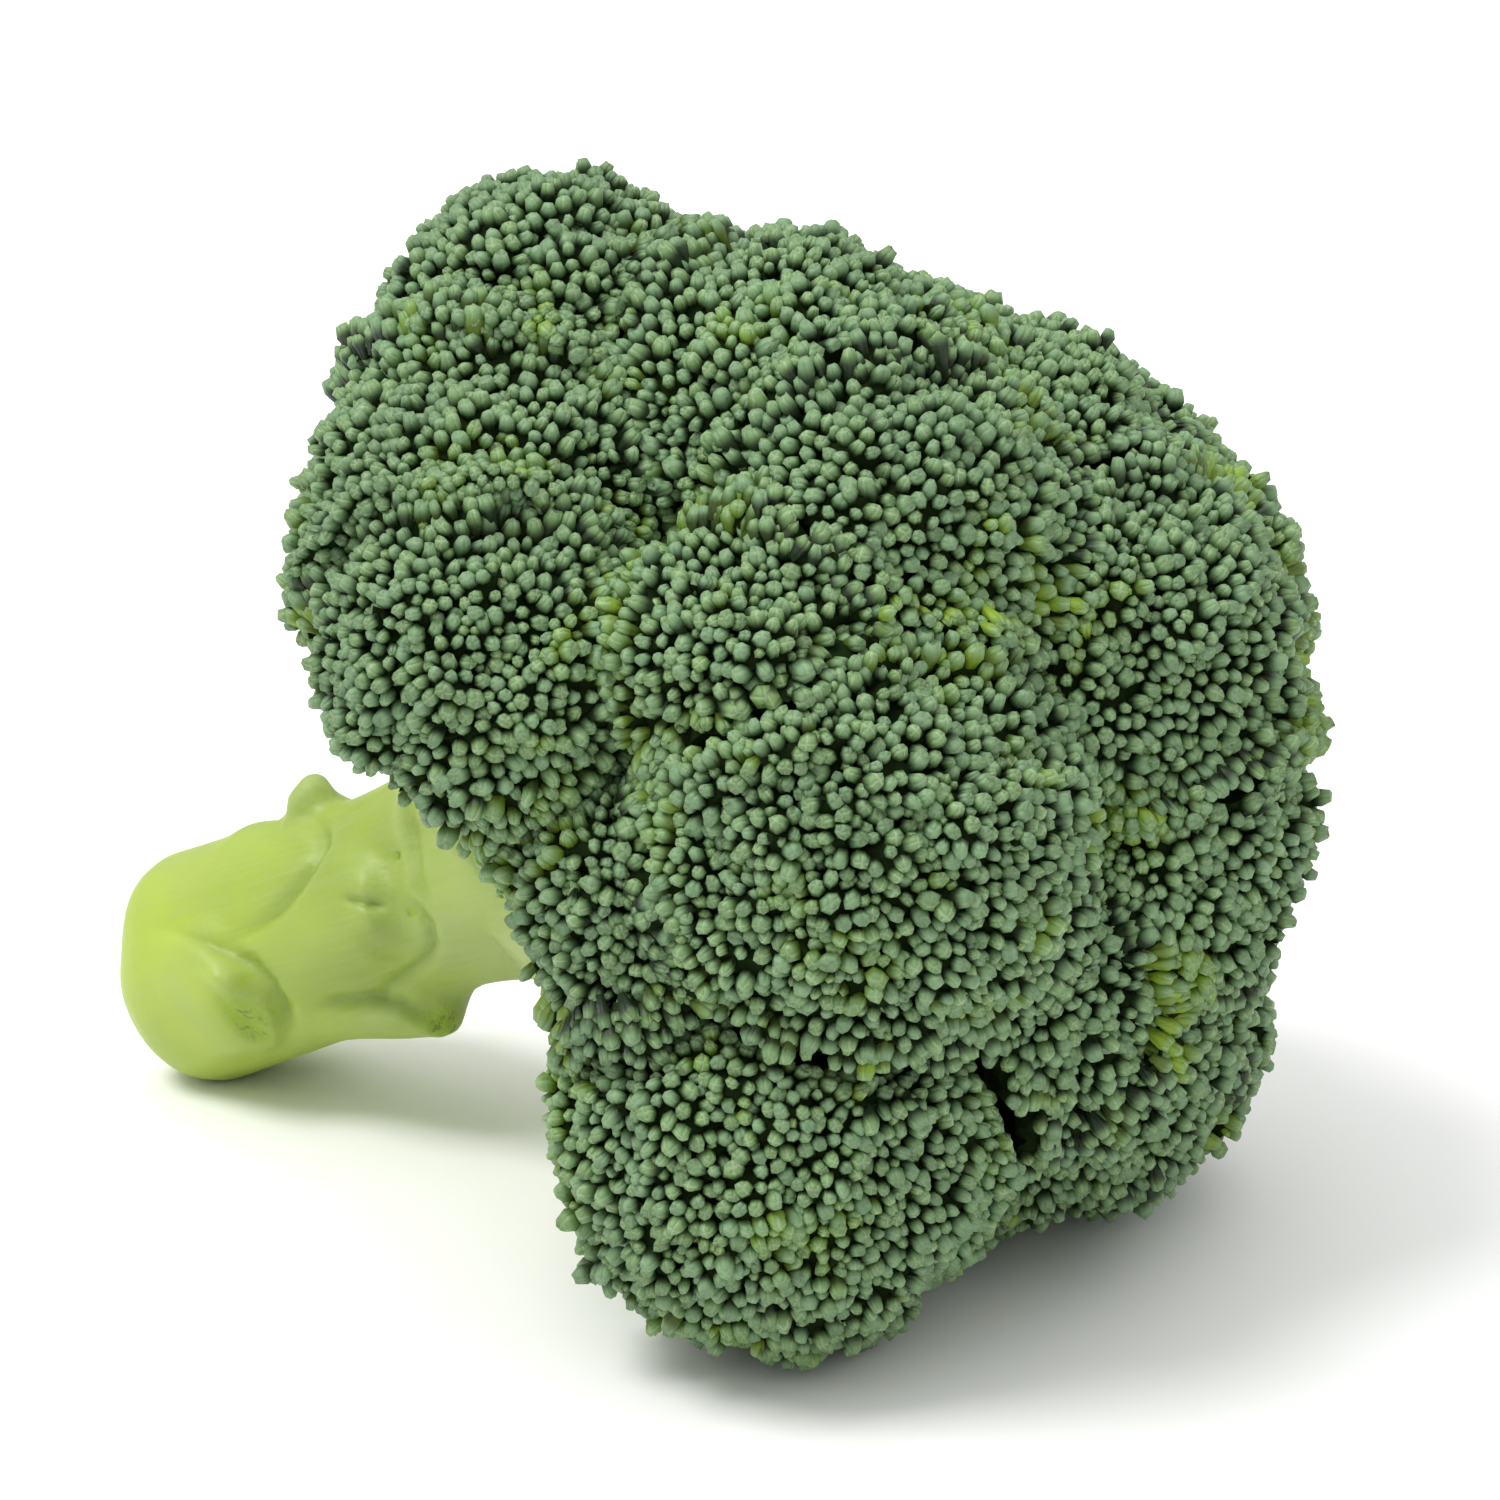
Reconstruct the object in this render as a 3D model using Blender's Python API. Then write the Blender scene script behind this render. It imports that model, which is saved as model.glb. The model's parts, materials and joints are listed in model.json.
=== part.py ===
"""A head of broccoli, cut from its plant and lying on its side.

The pale stalk runs from its trimmed end, on the surface, up into the crown, and parts there into
one thick branch for each floret. Each floret is a dome of green buds on its own branch, pressed
against its neighbours. The head rests on the heel of the stalk and on its lowest florets.
Metres, +Z up, +X from the cut end towards the crown, origin under the middle of the box.
"""

import math
import random

import bmesh
import bpy
from mathutils import Matrix, Vector, noise

MM = 0.001

# The crown: its middle lies on the head's axis, in the plane of its widest ring.
AXIS_TILT = math.radians(23.0)
CROWN_CENTRE = Vector((0.0, 0.0, 61.0 * MM))

# Florets: the angle from the head's axis, the turn round it from the top towards -Y (both in
# degrees), the reach from the crown's centre to the floret's own centre, and its radius (in mm).
FLORETS = {
    "floret_top_rear": (88, 12, 62, 25),
    "floret_shoulder": (90, 38, 53, 27.5),
    "floret_side": (84, 61.5, 58, 22.5),
    "floret_side_low": (74, 98, 47.5, 20),
    "floret_foot_front": (77, 140, 51.3, 32),
    "floret_top_front": (55, 11, 52, 26),
    "floret_face_top": (34, 34, 55, 23.5),
    "floret_face_side": (49, 66, 57, 18),
    "floret_face_middle": (41, 102, 53, 28),
    "floret_face_low": (43, 165, 50, 21),
    "floret_nose": (10, -75, 55, 25),
    "floret_brow": (35.5, -29, 54, 22.5),
    "floret_far_face": (40, -80, 54, 26),
    "floret_chin": (28, -150, 54, 23.5),
    "floret_foot_nose": (61.5, -167, 54.5, 25),
    "floret_far_top": (76, -22, 48, 26),
    "floret_far_shoulder": (78, -58, 52, 27),
    "floret_far_side": (80, -96, 51, 28),
    "floret_foot_far": (76, -143, 56.3, 29),
    "floret_foot_back": (88, 178, 46, 22),
}
FLORET_GAP = 0.5 * MM

# The beads of buds on a dome, and the clusters that they swell into.
ICOSAHEDRON_EDGE = 1.107
BEAD_PITCH = 7.3 * MM
BEAD_DEPTH = 2.4 * MM
BEAD_JITTER = 0.22
BEAD_SHARP = 20.0
CLUSTER_SIZE = 17.0 * MM
CLUSTER_RELIEF = 2.6 * MM
CLUSTER_POWER = 1.5
# Domes that press together swell towards each other, so the crease between them is shallow: how
# far at most, and how near the wall between them the swelling starts.
CREASE_FILL = 6.5 * MM
CREASE_REACH = 6.0 * MM
FLAT_ANGLE = math.radians(0.6)

# A floret's underside is a cone round its branch: its half-angle, and its apex in dome radii.
UNDERSIDE_ANGLE = math.radians(52.0)
UNDERSIDE_APEX = 1.02

# A branch's radius in dome radii, its foot's in its own, and how far behind the crown's centre it
# leaves the head's axis: near the axis, and how much further back at the rim.
BRANCH_SHARE = 0.29
BRANCH_FOOT = 1.35
BRANCH_SIDES = 10
CLEAR_TAPER = 0.35
ROOT_BACK = 6.0 * MM
RIM_ROOT_BACK = 38.0 * MM

# The stalk: its cut end lies on the surface, and its core runs a little way into the crown.
STALK_LENGTH = 112.5 * MM
STALK_LAST = 1.13
STALK_DROP = 2.8 * MM
STALK_SAG = 3.4 * MM
# Its radius in mm at shares of its length from the cut end, and how unround it is there: the
# number of ridges round it, their height in radii and their turn.
STALK_PROFILE = ((0.0, 16.9), (0.2, 16.3), (0.52, 14.4), (0.78, 18.0), (STALK_LAST, 9.0))
STALK_SIDES = 36
STALK_RINGS = 30
STALK_BARE = 0.66
STALK_BARE_RINGS = 24
STALK_LOBES = ((3, 0.035, 1.1), (5, 0.02, 0.0))
CUT_ROUNDING = 0.62
CUT_RINGS = 3
STALK_SHARP = 50.0

# Leaf bases left where the leaves were cut away: the share of the stalk's length from the cut end
# to the scar, the turn from the top towards -Y in degrees, then half-width, length and height in mm.
LEAF_BASES = (
    (0.35, 0, 5.5, 9, 4.3),
    (0.25, 102, 11, 18, 3.5),
    (0.50, 80, 10, 25, 3.2),
    (0.475, 160, 8, 24, 5),
    (0.33, -58, 11, 24, 4),
    (0.20, -140, 11, 16, 3.5),
    (0.52, -112, 10, 28, 3.5),
    (0.60, 22, 9, 26, 3),
)
SCAR_STEP = 3.4 * MM
SCAR_CURVE = 0.3
SCAR_FALL = 0.8

STALK_COLOUR = (0.42, 0.58, 0.16, 1.0)
BUD_COLOUR = (0.075, 0.17, 0.065, 1.0)

AXIS = Vector((math.cos(AXIS_TILT), 0.0, math.sin(AXIS_TILT)))
UP = Vector((-math.sin(AXIS_TILT), 0.0, math.cos(AXIS_TILT)))
NEAR = Vector((0.0, -1.0, 0.0))


def clear_scene():
    for old in list(bpy.data.objects):
        bpy.data.objects.remove(old, do_unlink=True)


def principled(name, colour, roughness):
    material = bpy.data.materials.new(name)
    material.use_nodes = True
    shader = material.node_tree.nodes["Principled BSDF"]
    shader.inputs["Base Color"].default_value = colour
    shader.inputs["Roughness"].default_value = roughness
    shader.inputs["Metallic"].default_value = 0.0
    return material


def ease(x):
    """0 below 0, 1 above 1, and a smooth rise between."""
    x = min(max(x, 0.0), 1.0)
    return x * x * (3.0 - 2.0 * x)


def add_object(name, bm, material, collection, sharp_angle):
    """A named object from a bmesh, smooth but for the edges that bend more than the angle."""
    mesh = bpy.data.meshes.new(name)
    bm.to_mesh(mesh)
    bm.free()
    mesh.materials.append(material)
    mesh.shade_smooth()
    mesh.set_sharp_from_angle(angle=math.radians(sharp_angle))
    obj = bpy.data.objects.new(name, mesh)
    collection.objects.link(obj)
    return obj


# Florets


class Floret:
    """Where a floret lies: its dome's centre and radius, and the way that its branch comes in."""

    def __init__(self, name, polar, turn, reach, radius):
        polar, turn = math.radians(polar), math.radians(turn)
        outward = AXIS * math.cos(polar) + (UP * math.cos(turn) + NEAR * math.sin(turn)) * math.sin(polar)
        self.name = name
        self.radius = radius * MM
        self.centre = CROWN_CENTRE + outward * reach * MM
        # A rim floret's branch leaves the stalk lower down than that of one near the axis.
        self.root = CROWN_CENTRE - AXIS * (ROOT_BACK + RIM_ROOT_BACK * math.sin(polar) ** 2)
        self.way = (self.centre - self.root).normalized()
        self.branch_radius = self.radius * BRANCH_SHARE
        self.apex_back = self.radius * UNDERSIDE_APEX
        self.seat_back = self.apex_back - self.branch_radius / math.tan(UNDERSIDE_ANGLE)

    def branch_radius_at(self, share):
        """The branch's radius at a share of its run from the root to the seat."""
        return self.branch_radius * (BRANCH_FOOT + (1.0 - BRANCH_FOOT) * share)

    @property
    def seat(self):
        """The middle of the flat that the branch meets."""
        return self.centre - self.way * self.seat_back


def clear_of_ball(floret, ball_centre, ball_radius):
    """The plane that keeps a dome off a ball: (normal, distance) from the dome's centre."""
    apart = ball_centre - floret.centre
    return apart.normalized(), apart.length - ball_radius - FLORET_GAP


def clear_of_branch(floret, other):
    """The plane that keeps a dome off another floret's branch."""
    run = other.seat - other.root
    share = min(max((floret.centre - other.root).dot(run) / run.length_squared, 0.0), 1.0)
    thick = other.branch_radius_at(max(share - CLEAR_TAPER, 0.0))
    return clear_of_ball(floret, other.root + run * share, thick)


def clearance_planes(floret, florets):
    """(normal, distance) of each plane that holds a dome off its seat, the surface, the stalk and
    the other branches, measured from its centre."""
    planes = [(-floret.way, floret.seat_back), (Vector((0.0, 0.0, -1.0)), floret.centre.z)]
    for share, radius in core_balls():
        planes.append(clear_of_ball(floret, stalk_spine(share), radius))
    return planes + [clear_of_branch(floret, other) for other in florets if other is not floret]


def neighbour_walls(floret, florets):
    """(normal, distance) of each wall between a dome and a neighbour, measured from its centre."""
    walls = []
    for other in florets:
        apart = other.centre - floret.centre
        distance = apart.length
        if other is floret or distance > floret.radius + other.radius + 2 * CREASE_FILL:
            continue
        wall = (distance**2 + floret.radius**2 - other.radius**2) / (2 * distance)
        walls.append((apart / distance, wall - FLORET_GAP / 2))
    return walls


def reach_to(planes, way):
    """How far off the nearest of these planes lies along a way, or infinity if none faces it."""
    facing = ((distance, normal.dot(way)) for normal, distance in planes)
    return min((distance / slope for distance, slope in facing if slope > 1e-6), default=math.inf)


def underside_reach(floret, way):
    """How far the cone of the floret's underside lies from its centre, or infinity in front of it."""
    along = way.dot(floret.way)
    back, rim = floret.apex_back, math.cos(UNDERSIDE_ANGLE) ** 2
    a, b, c = along**2 - rim, 2 * back * along * (1 - rim), back**2 * (1 - rim)
    inside = b * b - 4 * a * c
    if inside < 0 or abs(a) < 1e-9:
        return math.inf
    roots = [(-b + sign * math.sqrt(inside)) / (2 * a) for sign in (1, -1)]
    return min((t for t in roots if t > 0 and back + t * along > 0), default=math.inf)


def dome_reach(floret, way, wall):
    """The dome's surface, raised where a cluster of buds swells and beside a neighbour's wall."""
    spot = floret.centre + way * floret.radius
    nearest = noise.voronoi(spot / CLUSTER_SIZE, distance_metric="DISTANCE")[0][0]
    cluster = CLUSTER_RELIEF * (0.5 - min(nearest, 1.0) ** CLUSTER_POWER)
    return floret.radius + cluster + CREASE_FILL * math.exp(min(floret.radius - wall, 0.0) / CREASE_REACH)


def bead_sphere(radius, seed):
    """A unit sphere of six-sided cells, a bead's top in the middle of each and its foot round it."""
    steps = max(3, round(radius * ICOSAHEDRON_EDGE / BEAD_PITCH))
    bm = bmesh.new()
    bmesh.ops.create_icosphere(bm, subdivisions=1, radius=1.0)
    bmesh.ops.subdivide_edges(bm, edges=bm.edges[:], cuts=steps - 1, use_grid_fill=True)
    rng = random.Random(seed)
    pitch = ICOSAHEDRON_EDGE / steps
    tops = bm.verts[:]
    for vert in tops:
        vert.co.normalize()
        vert.co += Vector([rng.uniform(-1, 1) for _ in range(3)]) * pitch * BEAD_JITTER
        vert.co.normalize()
    ridges = bm.edges[:]
    feet = bmesh.ops.poke(bm, faces=bm.faces[:])["verts"]
    bmesh.ops.rotate_edges(bm, edges=ridges)
    for vert in feet:
        vert.co.normalize()
    return bm, set(feet)


def build_floret(floret, florets, seed, material, collection):
    bm, feet = bead_sphere(floret.radius, seed)
    clearances = clearance_planes(floret, florets)
    walls = neighbour_walls(floret, florets)
    for vert in bm.verts:
        way = vert.co.normalized()
        wall = reach_to(walls, way)
        dome = dome_reach(floret, way, wall) - (BEAD_DEPTH if vert in feet else 0.0)
        reach = min(dome, wall, underside_reach(floret, way), reach_to(clearances, way))
        vert.co = way * reach
    obj = add_object(floret.name, bm, material, collection, BEAD_SHARP)
    obj.location = floret.centre
    flats = obj.modifiers.new("join flat walls", "DECIMATE")
    flats.decimate_type = "DISSOLVE"
    flats.angle_limit = FLAT_ANGLE
    return obj


# Stalk


def stalk_spine(share):
    """The stalk's middle line: 0 at the cut end, 1 beside the crown's centre, on to its inner tip."""
    straight = CROWN_CENTRE - AXIS * STALK_LENGTH * (1.0 - share)
    return straight - UP * (STALK_DROP + STALK_SAG * max(0.0, 1.0 - share) ** 2)


def stalk_radius(share):
    """Broad at the trimmed end, waisted, then swelling where the branches part."""
    for (low, before), (high, after) in zip(STALK_PROFILE, STALK_PROFILE[1:]):
        if share <= high:
            return (before + (after - before) * ease((share - low) / (high - low))) * MM
    return STALK_PROFILE[-1][1] * MM


def ring_share(ring):
    """Rings lie close together along the bare stalk and wider apart inside the crown."""
    if ring <= STALK_BARE_RINGS:
        return STALK_BARE * ring / STALK_BARE_RINGS
    inside = (ring - STALK_BARE_RINGS) / (STALK_RINGS - STALK_BARE_RINGS)
    return STALK_BARE + (STALK_LAST - STALK_BARE) * inside


def leaf_base_height(share, turn):
    """How far the leaf bases stand out: a long swell that ends at its scar in a curved step."""
    height = 0.0
    for scar, about, half_width, length, tall in LEAF_BASES:
        off = (turn - math.radians(about) + math.pi) % (2 * math.pi) - math.pi
        across = off * stalk_radius(scar) / (half_width * MM)
        if abs(across) >= 1.0:
            continue
        edge = scar * STALK_LENGTH - SCAR_CURVE * length * MM * across**2
        ahead = share * STALK_LENGTH - edge
        swell = ease(1.0 + ahead / (length * MM)) * (1.0 - ease(ahead / SCAR_STEP))
        height = max(height, tall * MM * swell * (1.0 - across**2) ** SCAR_FALL)
    return height


def core_radius(share, turn):
    rounding = 1.0 + sum(tall * math.sin(count * turn + start) for count, tall, start in STALK_LOBES)
    return stalk_radius(share) * rounding + leaf_base_height(share, turn)


def core_balls():
    """Balls along the stalk's spine that hold all of its core, for what has to stay clear of it."""
    for ring in range(STALK_RINGS + 1):
        share = ring_share(ring)
        yield share, max(core_radius(share, turn) for turn in stalk_turns())


def stalk_turns():
    return [2 * math.pi * side / STALK_SIDES for side in range(STALK_SIDES)]


def build_stalk_core():
    """The stalk without its branches: rings along the spine, with rounded, trimmed ends."""
    bm = bmesh.new()
    rings = []
    for ring in range(STALK_RINGS + 1):
        share = ring_share(ring)
        trimmed = CUT_ROUNDING + (1.0 - CUT_ROUNDING) * math.sqrt(ease(ring / CUT_RINGS))
        middle = stalk_spine(share)
        verts = []
        for turn in stalk_turns():
            radius = core_radius(share, turn) * trimmed
            verts.append(bm.verts.new(middle + (UP * math.cos(turn) + NEAR * math.sin(turn)) * radius))
        rings.append(verts)
    for low, high in zip(rings, rings[1:]):
        for side in range(STALK_SIDES):
            after = (side + 1) % STALK_SIDES
            bm.faces.new((low[side], low[after], high[after], high[side]))
    bm.faces.new(reversed(rings[0]))
    bm.faces.new(rings[-1])
    bmesh.ops.recalc_face_normals(bm, faces=bm.faces[:])
    return bm


def build_branch(floret):
    """One floret's branch: it leaves the stalk's core thick and thins towards the floret."""
    bm = bmesh.new()
    seat = floret.seat - floret.way * FLORET_GAP
    bmesh.ops.create_cone(
        bm,
        cap_ends=True,
        segments=BRANCH_SIDES,
        radius1=floret.branch_radius_at(0.0),
        radius2=floret.branch_radius_at(1.0),
        depth=(seat - floret.root).length,
    )
    turn = floret.way.to_track_quat("Z", "Y").to_matrix().to_4x4()
    bmesh.ops.transform(bm, matrix=Matrix.Translation((seat + floret.root) / 2) @ turn, verts=bm.verts)
    return bm


def build_stalk(florets, material, collection, helpers):
    stalk = add_object("stalk", build_stalk_core(), material, collection, STALK_SHARP)
    for floret in florets:
        name = "branch_of_" + floret.name
        branch = add_object(name, build_branch(floret), material, helpers, STALK_SHARP)
        branch.hide_render = True
    union = stalk.modifiers.new("join branches", "BOOLEAN")
    union.operand_type = "COLLECTION"
    union.collection = helpers
    union.operation = "UNION"
    union.solver = "EXACT"
    graph = bpy.context.evaluated_depsgraph_get()
    joined = bpy.data.meshes.new_from_object(stalk.evaluated_get(graph))
    stalk.modifiers.clear()
    stalk.data = joined
    for branch in list(helpers.objects):
        bpy.data.objects.remove(branch, do_unlink=True)
    bpy.data.collections.remove(helpers)
    trim_heel(joined)
    return stalk


def trim_heel(mesh):
    """Cuts the small flat on which the stalk's end rests."""
    bm = bmesh.new()
    bm.from_mesh(mesh)
    everything = bm.verts[:] + bm.edges[:] + bm.faces[:]
    cut = bmesh.ops.bisect_plane(
        bm, geom=everything, plane_co=(0, 0, 0), plane_no=(0, 0, -1), clear_outer=True
    )["geom_cut"]
    rim = [part for part in cut if isinstance(part, bmesh.types.BMEdge)]
    bmesh.ops.holes_fill(bm, edges=rim)
    bm.to_mesh(mesh)
    bm.free()


def centre_on_origin(objects):
    """Moves the head so that the middle of its box stands over the origin, its lowest face at 0."""
    bpy.context.view_layer.update()
    graph = bpy.context.evaluated_depsgraph_get()
    corners = [
        obj.matrix_world @ vert.co
        for obj in objects
        for vert in obj.evaluated_get(graph).data.vertices
    ]
    middle = Vector(
        [(min(c[i] for c in corners) + max(c[i] for c in corners)) / 2 for i in range(2)] + [0.0]
    )
    for obj in objects:
        obj.location -= middle


def main():
    clear_scene()
    head = bpy.data.collections.new("broccoli head")
    helpers = bpy.data.collections.new("branches to join")
    helpers.hide_render = True
    bpy.context.scene.collection.children.link(head)
    bpy.context.scene.collection.children.link(helpers)
    stalk_green = principled("stalk green", STALK_COLOUR, 0.45)
    bud_green = principled("bud green", BUD_COLOUR, 0.75)
    florets = [Floret(name, *place) for name, place in FLORETS.items()]
    objects = [build_stalk(florets, stalk_green, head, helpers)]
    for seed, floret in enumerate(florets):
        objects.append(build_floret(floret, florets, seed, bud_green, head))
    centre_on_origin(objects)


main()
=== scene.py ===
"""A head of broccoli lying on its side: its pale stalk, its florets and their thousands of buds.

The stalk comes first, then what each floret is made of from the inside out: the dense core that its
branch divides into, the pale branchlets under it, and the buds. The surface, the light and the
camera close the file. Metres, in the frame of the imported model.
"""

import json
import math
import random

import bmesh
import bpy
import numpy as np
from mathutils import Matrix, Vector, noise
from mathutils.bvhtree import BVHTree

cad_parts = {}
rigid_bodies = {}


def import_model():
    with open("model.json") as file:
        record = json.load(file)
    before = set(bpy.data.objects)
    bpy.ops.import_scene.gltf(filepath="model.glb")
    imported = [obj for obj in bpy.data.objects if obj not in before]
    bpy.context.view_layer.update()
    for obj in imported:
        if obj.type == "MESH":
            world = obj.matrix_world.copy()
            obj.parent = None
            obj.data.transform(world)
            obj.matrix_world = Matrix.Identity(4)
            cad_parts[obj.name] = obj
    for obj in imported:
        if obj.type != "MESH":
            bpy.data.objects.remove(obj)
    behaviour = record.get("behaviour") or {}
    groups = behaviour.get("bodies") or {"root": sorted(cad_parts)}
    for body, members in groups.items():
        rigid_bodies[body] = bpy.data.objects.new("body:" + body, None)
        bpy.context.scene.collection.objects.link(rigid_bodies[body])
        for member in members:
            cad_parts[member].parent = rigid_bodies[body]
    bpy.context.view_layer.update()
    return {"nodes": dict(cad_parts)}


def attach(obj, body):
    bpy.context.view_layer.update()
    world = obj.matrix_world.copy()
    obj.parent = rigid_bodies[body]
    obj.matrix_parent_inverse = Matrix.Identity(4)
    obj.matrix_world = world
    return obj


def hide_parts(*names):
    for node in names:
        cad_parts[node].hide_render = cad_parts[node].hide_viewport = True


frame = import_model()

MM = 0.001


# ---------------------------------------------------------------------------------------------
# The stalk: one thick fleshy stem, trimmed by a knife at its end, with the bases of the leaves
# that were cut away, and a branch that leaves it for each floret. It is grown in one piece, so
# its form is the solid's own, rounded where the branches part and the leaf bases end.

AXIS_TILT = math.radians(23.0)
AXIS = np.array((math.cos(AXIS_TILT), 0.0, math.sin(AXIS_TILT)))
UP = np.array((-math.sin(AXIS_TILT), 0.0, math.cos(AXIS_TILT)))
NEAR = np.array((0.0, -1.0, 0.0))
CROWN_MIDDLE = np.array((14.33, -2.24, 61.0)) * MM
STALK_LENGTH = 112.5 * MM
STALK_DROP = 2.8 * MM
STALK_SAG = 3.4 * MM
TRUNK_RADIUS = 15.5 * MM
WELD = 0.01 * MM
STALK_VOXEL = 0.8 * MM
STALK_ROUNDING = 6
SMOOTHING = 0.5
INNER_START = 76.0 * MM
INNER_FACES_KEPT = 0.3
HOLLOW_PASSES = 14
HOLLOW_DEPTH = 0.55 * MM
WAVE_HEIGHT = 0.35 * MM
WAVE_SIZE = 9.0 * MM
WAVE_STRETCH = 3.0
WAVE_SEED = 3.0
# The stalk's bare side starts this far from its spine. The cut face is what looks along the stalk,
# by so much, this near its end.
BARE_RADIUS = TRUNK_RADIUS * 0.6
CUT_FACING = (0.75, 0.95)
CUT_DEPTH = 4.0 * MM
# How much a leaf scar curves. How fast a line gains strength from its ends, and its strength there.
SCAR_CURVE = 0.5
LINE_GAIN, LINE_LEFT = 4.0, 0.15

# Leaf scars on the stalk: the middle as a distance from the cut end and a turn from the top
# towards -Y, half its size along and across the stalk, how deep its dimple is (in mm and degrees),
# and how torn and green it is.
LEAF_SCARS = (
    (27.5, 116, 3.2, 5.5, 1.5, 1.0),
    (39.6, 5, 2.6, 2.5, -2.4, 0.3),
    (34.0, 12, 3.2, 5.0, 0.9, 0.0),
    (27.0, 12, 3.5, 5.0, -0.7, 0.0),
    (53.5, 160, 2.2, 3.6, -0.8, 1.0),
    (60.4, 59, 0.9, 0.8, 0.5, 1.0),
    (61.4, 92, 0.9, 0.9, 0.5, 1.0),
    (34.5, -58, 3.0, 6.0, 1.2, 1.0),
    (21.0, -140, 3.0, 6.0, 1.2, 1.0),
    (57.5, -112, 2.4, 6.0, 0.8, 0.8),
)
# Lines where the leaf bases end or fold: their places along the stalk and round it, half their
# width and their depth in mm (a ridge's is below zero), and how green they are.
LEAF_LINES = (
    (((41, 18), (43.5, 25), (45.5, 33), (46.3, 42), (45.3, 52), (42.5, 61), (38.5, 69), (33, 75),
      (27, 78)), 1.3, 1.3, 0.45),
    (((15, 60), (20, 66), (25, 73), (29, 82), (32, 92), (33.5, 104), (33, 118), (31, 131),
      (27, 143)), 1.1, 1.1, 0.6),
    (((25, 88), (28.5, 96), (30.5, 108), (30, 120), (27.5, 132), (22, 142)), 1.4, -1.2, 0.0),
    (((60, 82), (63, 91), (64, 101), (62.8, 112), (59.5, 120), (55, 126), (48.5, 131),
      (43, 132)), 1.0, 0.9, 0.7),
    (((52, 75), (54.5, 77.5), (56.5, 81), (58.5, 86)), 0.7, 1.0, 1.0),
    (((62.5, 20), (62.3, 45), (62.8, 71), (62.5, 84)), 1.2, -0.5, 0.0),
    (((64.5, 25), (64.3, 50), (64.8, 75), (66, 100)), 0.9, 0.5, 0.3),
    (((36, 124), (41, 126), (46.6, 129.5), (51, 138), (53.5, 150), (54, 160)), 1.0, 1.1, 0.7),
    (((41, -28), (42.5, -42), (41.5, -58), (37.5, -74), (30, -85)), 1.1, 0.9, 0.7),
    (((24, -112), (26.5, -126), (26, -142), (22, -157), (16, -168)), 1.1, 0.9, 0.7),
    (((60, -86), (63.5, -98), (64, -114), (61, -130), (54, -142)), 1.0, 0.9, 0.7),
    (((44, 175), (50, 178), (56, -174), (60, -160)), 0.9, 0.7, 0.5),
)


def merged_copy(node):
    """A CAD node's mesh with the corners of its triangles joined, as a new object."""
    bm = bmesh.new()
    bm.from_mesh(frame["nodes"][node].data)
    bmesh.ops.remove_doubles(bm, verts=bm.verts, dist=WELD)
    mesh = bpy.data.meshes.new(node + "_merged")
    bm.to_mesh(mesh)
    bm.free()
    copy = bpy.data.objects.new(node + "_merged", mesh)
    bpy.context.scene.collection.objects.link(copy)
    return copy


def taken_mesh(obj):
    """The mesh that an object's modifiers make, with the modifiers removed."""
    bpy.context.view_layer.update()
    graph = bpy.context.evaluated_depsgraph_get()
    mesh = bpy.data.meshes.new_from_object(obj.evaluated_get(graph), depsgraph=graph)
    obj.modifiers.clear()
    return mesh


def soften(obj, passes):
    """Gives an object a smoothing of a number of passes."""
    smoothing = obj.modifiers.new("soften", "SMOOTH")
    smoothing.factor = SMOOTHING
    smoothing.iterations = passes


def remeshed(obj, voxel, passes):
    """An even skin of small faces over an object, smoothed a number of times."""
    skin = obj.modifiers.new("even skin", "REMESH")
    skin.mode = "VOXEL"
    skin.voxel_size = voxel
    soften(obj, passes)
    obj.data = taken_mesh(obj)


def points_of(mesh):
    flat = np.empty(len(mesh.vertices) * 3, np.float32)
    mesh.vertices.foreach_get("co", flat)
    return flat.reshape(-1, 3).astype(float)


def normals_of(mesh):
    flat = np.empty(len(mesh.vertices) * 3, np.float32)
    mesh.vertex_normals.foreach_get("vector", flat)
    return flat.reshape(-1, 3).astype(float)


def set_points(mesh, points):
    mesh.vertices.foreach_set("co", points.astype(np.float32).ravel())
    mesh.update()


def store(mesh, name, values):
    """Keeps a number or a vector for every point of a mesh, for its material or its buds."""
    values = np.asarray(values, np.float32)
    kind, key = ("FLOAT", "value") if values.ndim == 1 else ("FLOAT_VECTOR", "vector")
    mesh.attributes.new(name, kind, "POINT").data.foreach_set(key, values.ravel())


def hollows(obj, passes, depth):
    """How far each point lies in a hollow, from -1 on a ridge to 1 in a groove."""
    soften(obj, passes)
    smooth = taken_mesh(obj)
    sunk = ((points_of(smooth) - points_of(obj.data)) * normals_of(obj.data)).sum(1)
    bpy.data.meshes.remove(smooth)
    return np.clip(sunk / depth, -1.0, 1.0)


def rise(x, low, high):
    """0 below low, 1 above high, and a smooth rise between."""
    t = np.clip((x - low) / (high - low), 0.0, 1.0)
    return t * t * (3.0 - 2.0 * t)


def waves(points, size, seed):
    """Smooth noise at points, about -1 to 1, with swells of a size."""
    return np.array([noise.noise(Vector(p / size) + Vector((seed, 0.0, 0.0))) for p in points])


def stalk_places(points):
    """Each point's distance along the stalk from its cut end, distance from its spine, and turn."""
    along = (points - CROWN_MIDDLE) @ AXIS + STALK_LENGTH
    share = along / STALK_LENGTH
    drop = STALK_DROP + STALK_SAG * np.maximum(0.0, 1.0 - share) ** 2
    spine = CROWN_MIDDLE + np.outer(along - STALK_LENGTH, AXIS) - drop[:, None] * UP
    off = points - spine
    return along, np.hypot(off @ UP, off @ NEAR), np.arctan2(off @ NEAR, off @ UP)


def unrolled(turn, about):
    """Distances round the stalk from its top, without a break near a turn."""
    return (about + (turn - about + math.pi) % (2 * math.pi) - math.pi) * TRUNK_RADIUS


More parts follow.
